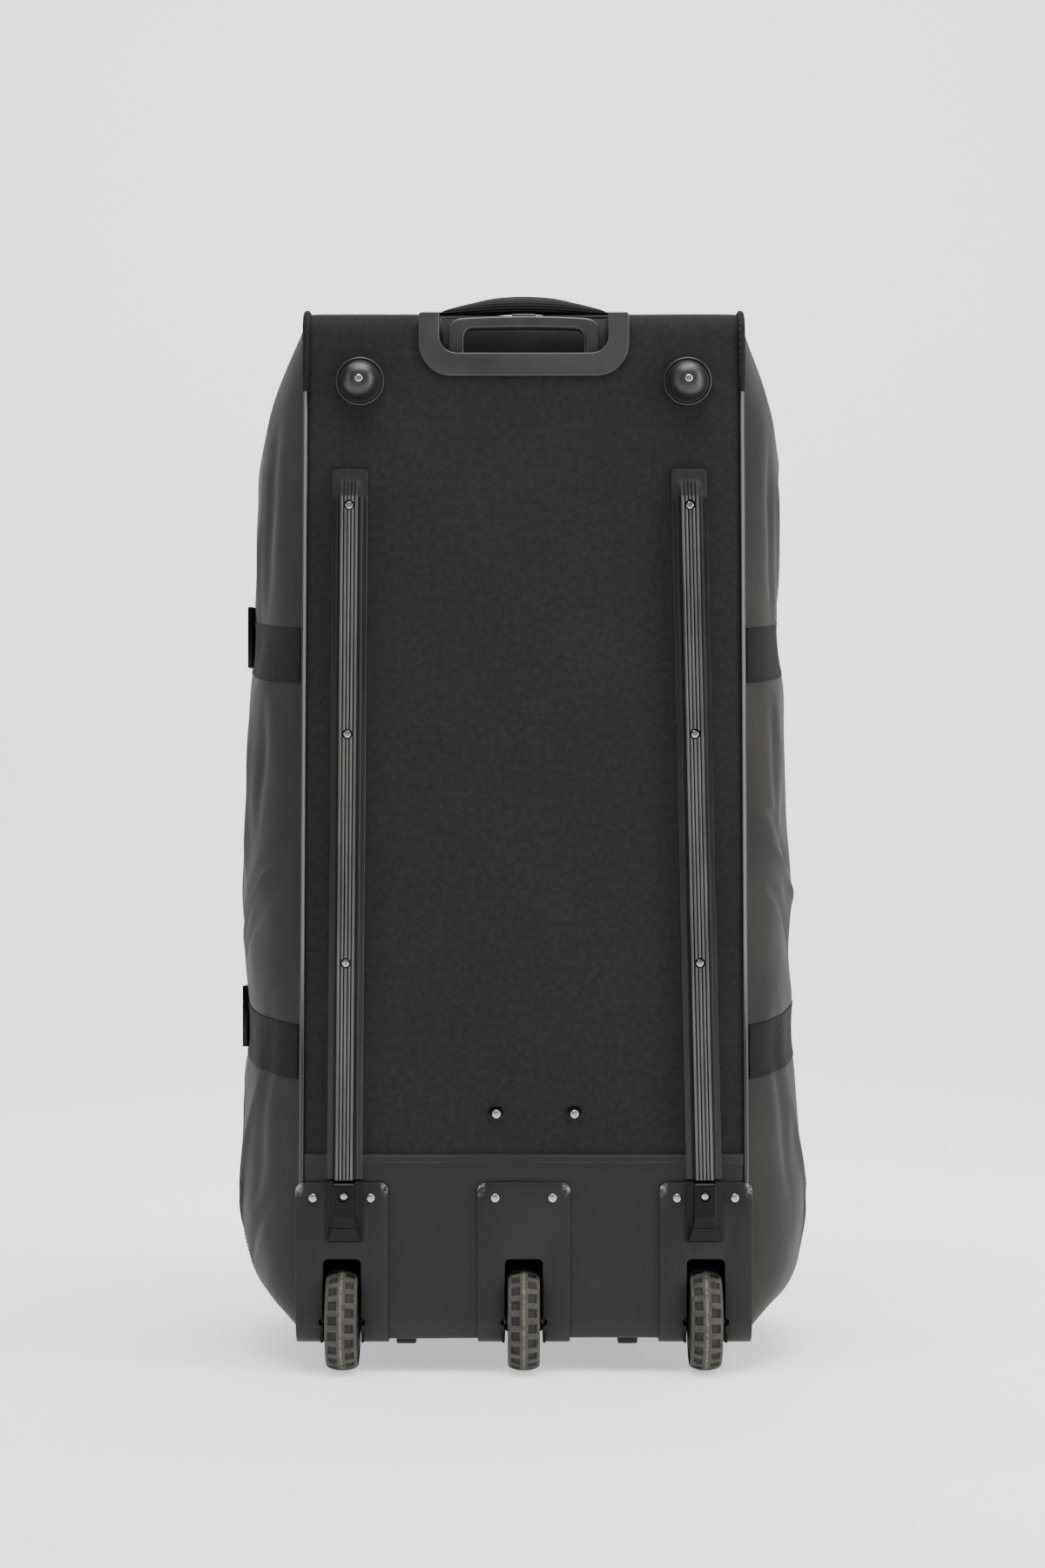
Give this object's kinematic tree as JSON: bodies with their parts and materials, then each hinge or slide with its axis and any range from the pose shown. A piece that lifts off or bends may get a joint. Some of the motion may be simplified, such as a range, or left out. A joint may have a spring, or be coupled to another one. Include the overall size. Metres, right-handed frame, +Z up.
{
  "type": "cricket kit bag",
  "caption": "Tall wheeled kit bag with a stiff ribbed base, bulging tarpaulin sides, webbing straps and a pull handle, standing on its wheels and feet.",
  "frame": {"origin": "on the floor, under the middle of the bag's bounding box", "axes": "+Z up as the bag stands, +X to the right seen from the base side, +Y from the base towards the lid"},
  "size_m": [0.546, 0.4069, 0.9866],
  "materials": {
    "woven_cloth": "black woven polyester over a board",
    "coated_guard": "smooth coated cloth",
    "tarpaulin": "grey coated tarpaulin, slight sheen",
    "piping": "black glossy piping",
    "webbing": "black ribbed webbing",
    "padded_handle": "padded black webbing",
    "plate_plastic": "moulded black plastic, scuffed",
    "gloss_plastic": "smooth black plastic",
    "wheel_rubber": "dusty dark grey rubber",
    "rivet_steel": "nickel-plated steel",
    "handle_tube": "anodised tube",
    "zip_metal": "dark plated metal"
  },
  "bodies": {
    "bag": {"base_panel": "woven_cloth", "top_end": "woven_cloth", "front_lid": "woven_cloth", "bottom_end": "woven_cloth", "guard_panel": "coated_guard", "side_left": "tarpaulin", "side_right": "tarpaulin", "piping_left": "piping", "piping_right": "piping", "strap_upper": "webbing", "strap_buckle_upper": "plate_plastic", "strap_tail_upper": "webbing", "strap_lower": "webbing", "strap_buckle_lower": "plate_plastic", "strap_tail_lower": "webbing", "main_zip": "webbing", "zip_pull": "zip_metal", "wheel_housing_left": "plate_plastic", "axle_left": "rivet_steel", "wheel_housing_middle": "plate_plastic", "axle_middle": "rivet_steel", "wheel_housing_right": "plate_plastic", "axle_right": "rivet_steel", "plate_rivet_left_a": "rivet_steel", "plate_rivet_left_b": "rivet_steel", "plate_rivet_middle_a": "rivet_steel", "plate_rivet_middle_b": "rivet_steel", "plate_rivet_right_a": "rivet_steel", "plate_rivet_right_b": "rivet_steel", "rail_left": "plate_plastic", "rail_rivet_left_1": "rivet_steel", "rail_rivet_left_2": "rivet_steel", "rail_rivet_left_3": "rivet_steel", "rail_cap_left": "gloss_plastic", "cap_rivet_left": "rivet_steel", "rail_right": "plate_plastic", "rail_rivet_right_1": "rivet_steel", "rail_rivet_right_2": "rivet_steel", "rail_rivet_right_3": "rivet_steel", "rail_cap_right": "gloss_plastic", "cap_rivet_right": "rivet_steel", "corner_foot_left": "plate_plastic", "foot_rivet_left": "rivet_steel", "corner_foot_right": "plate_plastic", "foot_rivet_right": "rivet_steel", "center_rivet_left": "rivet_steel", "center_rivet_right": "rivet_steel", "handle_surround": "plate_plastic", "pull_guide": "plate_plastic", "end_handle": "padded_handle", "stand_foot_left": "plate_plastic", "stand_foot_right": "plate_plastic"},
    "wheel_left": {"wheel_left": "wheel_rubber"},
    "wheel_middle": {"wheel_middle": "wheel_rubber"},
    "wheel_right": {"wheel_right": "wheel_rubber"},
    "handle": {"pull_handle": "gloss_plastic", "pull_tube_left": "handle_tube", "pull_tube_right": "handle_tube"}
  },
  "joints": [
    {"name": "left_wheel_turn", "type": "hinge", "parent": "bag", "child": "wheel_left", "pos_m": [-0.165, -0.156, 0.0463], "axis": [1, 0, 0], "continuous": true},
    {"name": "middle_wheel_turn", "type": "hinge", "parent": "bag", "child": "wheel_middle", "pos_m": [0, -0.156, 0.0463], "axis": [1, 0, 0], "continuous": true},
    {"name": "right_wheel_turn", "type": "hinge", "parent": "bag", "child": "wheel_right", "pos_m": [0.165, -0.156, 0.0463], "axis": [1, 0, 0], "continuous": true},
    {"name": "handle_slide", "type": "slide", "parent": "bag", "child": "handle", "axis": [0, 0, 1], "range_m": [0, 0.4]}
  ]
}
